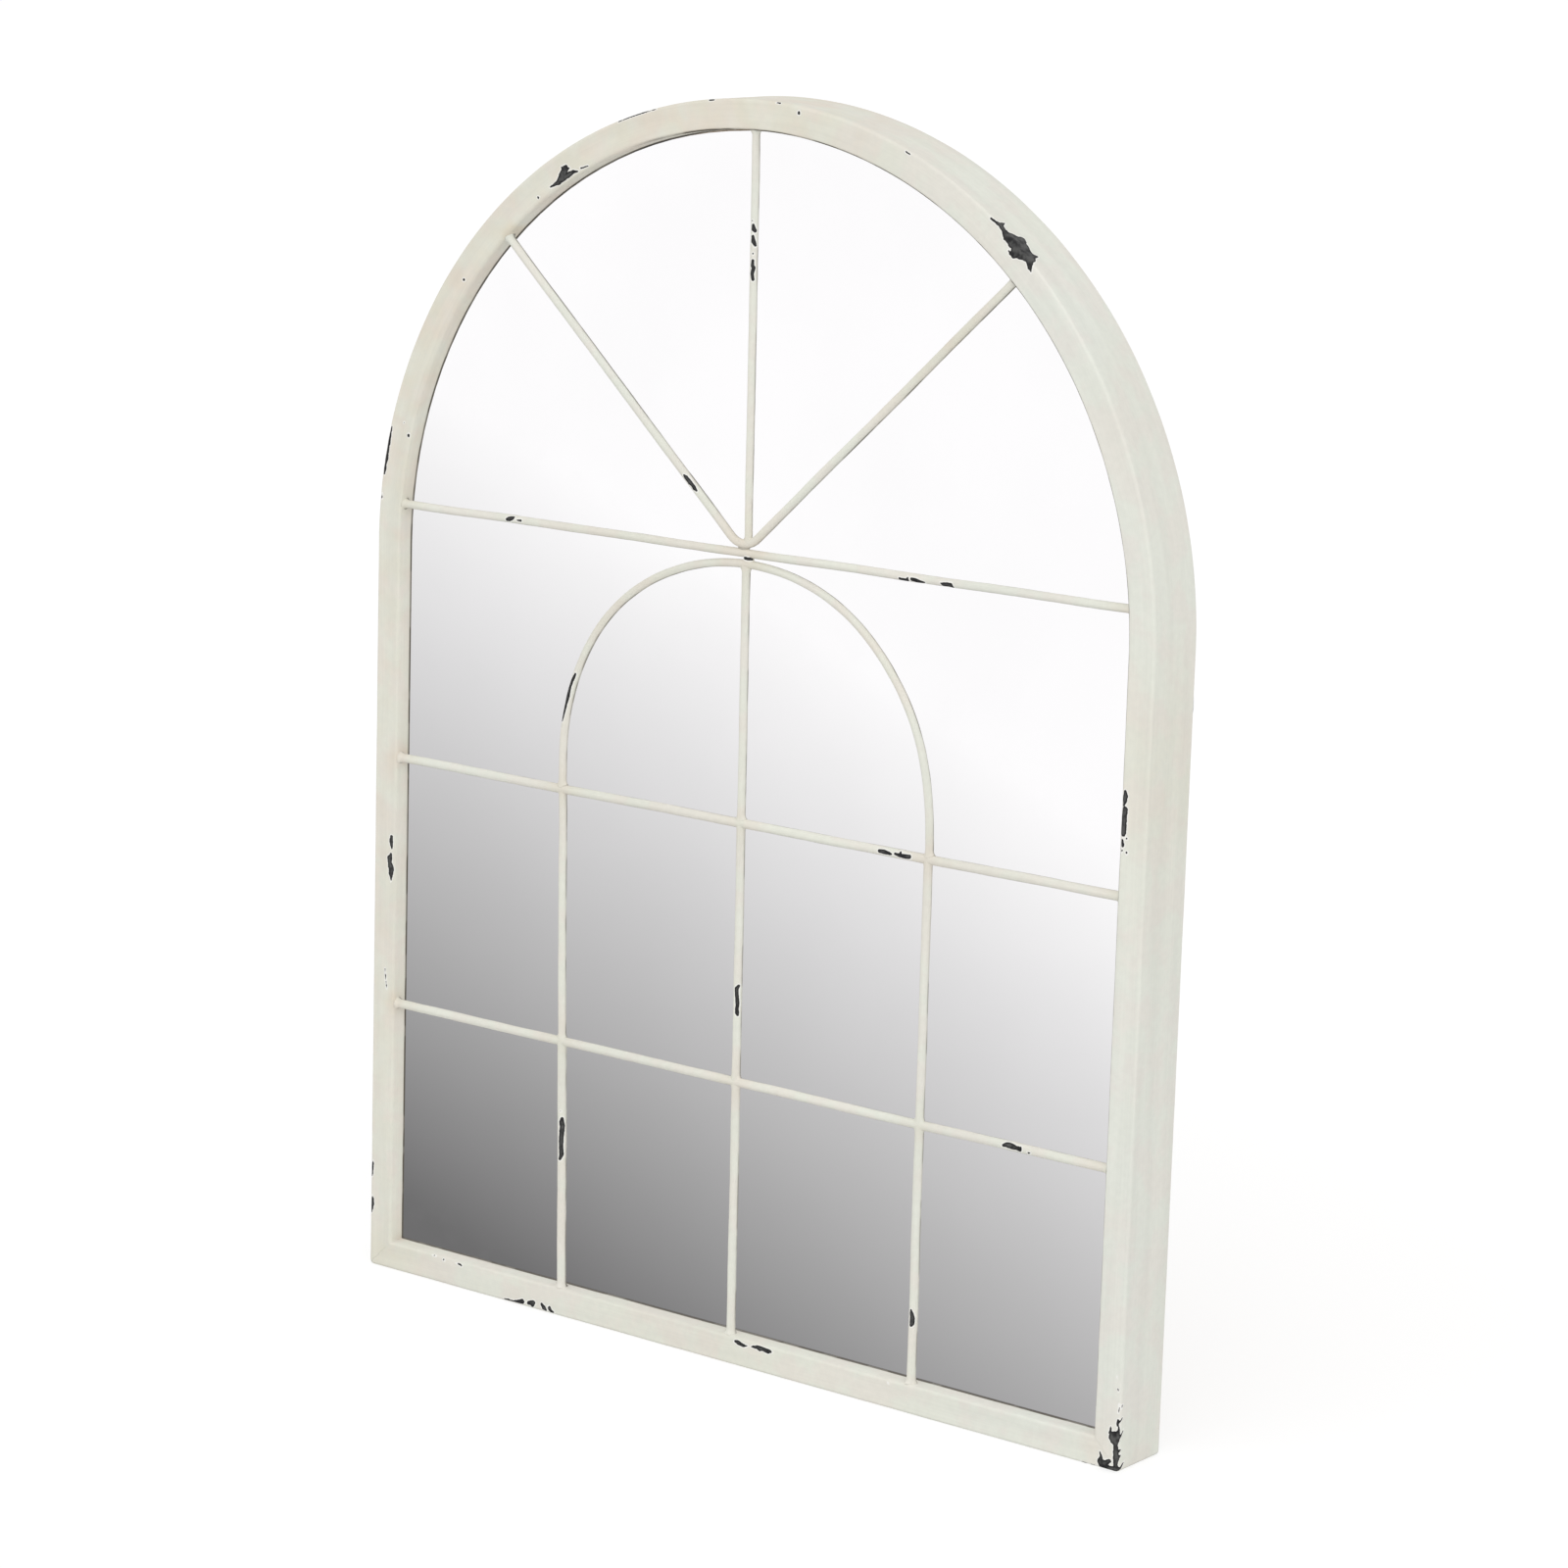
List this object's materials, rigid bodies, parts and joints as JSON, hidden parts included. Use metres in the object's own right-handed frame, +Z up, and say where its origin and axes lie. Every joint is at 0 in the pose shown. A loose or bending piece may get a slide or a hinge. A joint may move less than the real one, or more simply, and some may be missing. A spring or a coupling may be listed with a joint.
{
  "type": "arched window mirror",
  "caption": "Wall mirror in an arched frame of painted steel tube, with welded window bars, a fan of spokes and a smaller arch in front of the glass.",
  "frame": {"origin": "on the wall plane, midway between the pivots of the two hanging rings", "axes": "+X to the right as seen from the front, +Y back towards the wall, +Z up"},
  "size_m": [0.61, 0.0506, 0.8],
  "materials": {
    "cream_paint": "matt cream paint, brushed and chipped through to dark steel",
    "mirror": "silvered float glass",
    "fibreboard": "bare medium-density fibreboard",
    "mastic": "cured mirror mastic",
    "zinc_plate": "bright zinc plate",
    "rubber": "matt black rubber"
  },
  "bodies": {
    "frame": {"backing_board": "fibreboard", "board_screw_arch_crown": "zinc_plate", "board_screw_arch_left": "zinc_plate", "board_screw_arch_right": "zinc_plate", "board_screw_bottom_left": "zinc_plate", "board_screw_bottom_right": "zinc_plate", "board_screw_left_lower": "zinc_plate", "board_screw_left_upper": "zinc_plate", "board_screw_right_lower": "zinc_plate", "board_screw_right_upper": "zinc_plate", "bumper_left": "rubber", "bumper_right": "rubber", "centre_upright_lower": "cream_paint", "centre_upright_middle": "cream_paint", "centre_upright_upper": "cream_paint", "crown_upright": "cream_paint", "frame_arch": "cream_paint", "frame_bottom_rail": "cream_paint", "hanger_screw_left_lower": "zinc_plate", "hanger_screw_left_upper": "zinc_plate", "hanger_screw_right_lower": "zinc_plate", "hanger_screw_right_upper": "zinc_plate", "hanger_strap_left": "zinc_plate", "hanger_strap_right": "zinc_plate", "inner_arch_rod": "cream_paint", "left_upright_lower": "cream_paint", "left_upright_middle": "cream_paint", "lower_rail": "cream_paint", "lug_arch_crown": "cream_paint", "lug_arch_left": "cream_paint", "lug_arch_right": "cream_paint", "lug_bottom_left": "cream_paint", "lug_bottom_right": "cream_paint", "lug_left_lower": "cream_paint", "lug_left_upper": "cream_paint", "lug_right_lower": "cream_paint", "lug_right_upper": "cream_paint", "mastic_bead_centre": "mastic", "mastic_bead_far_left": "mastic", "mastic_bead_far_right": "mastic", "mastic_bead_left": "mastic", "mastic_bead_right": "mastic", "middle_rail": "cream_paint", "mirror_glass": "mirror", "right_upright_lower": "cream_paint", "right_upright_middle": "cream_paint", "spoke_rod": "cream_paint", "upper_rail": "cream_paint"},
    "ring_left": {"hanger_ring_left": "zinc_plate"},
    "ring_right": {"hanger_ring_right": "zinc_plate"}
  },
  "joints": [
    {"name": "ring_left_swing", "type": "hinge", "parent": "frame", "child": "ring_left", "pos_m": [-0.2925, -0.0028, 0], "axis": [1, 0, 0], "range_deg": [0, 175]},
    {"name": "ring_right_swing", "type": "hinge", "parent": "frame", "child": "ring_right", "pos_m": [0.2925, -0.0028, 0], "axis": [1, 0, 0], "range_deg": [0, 175]}
  ]
}
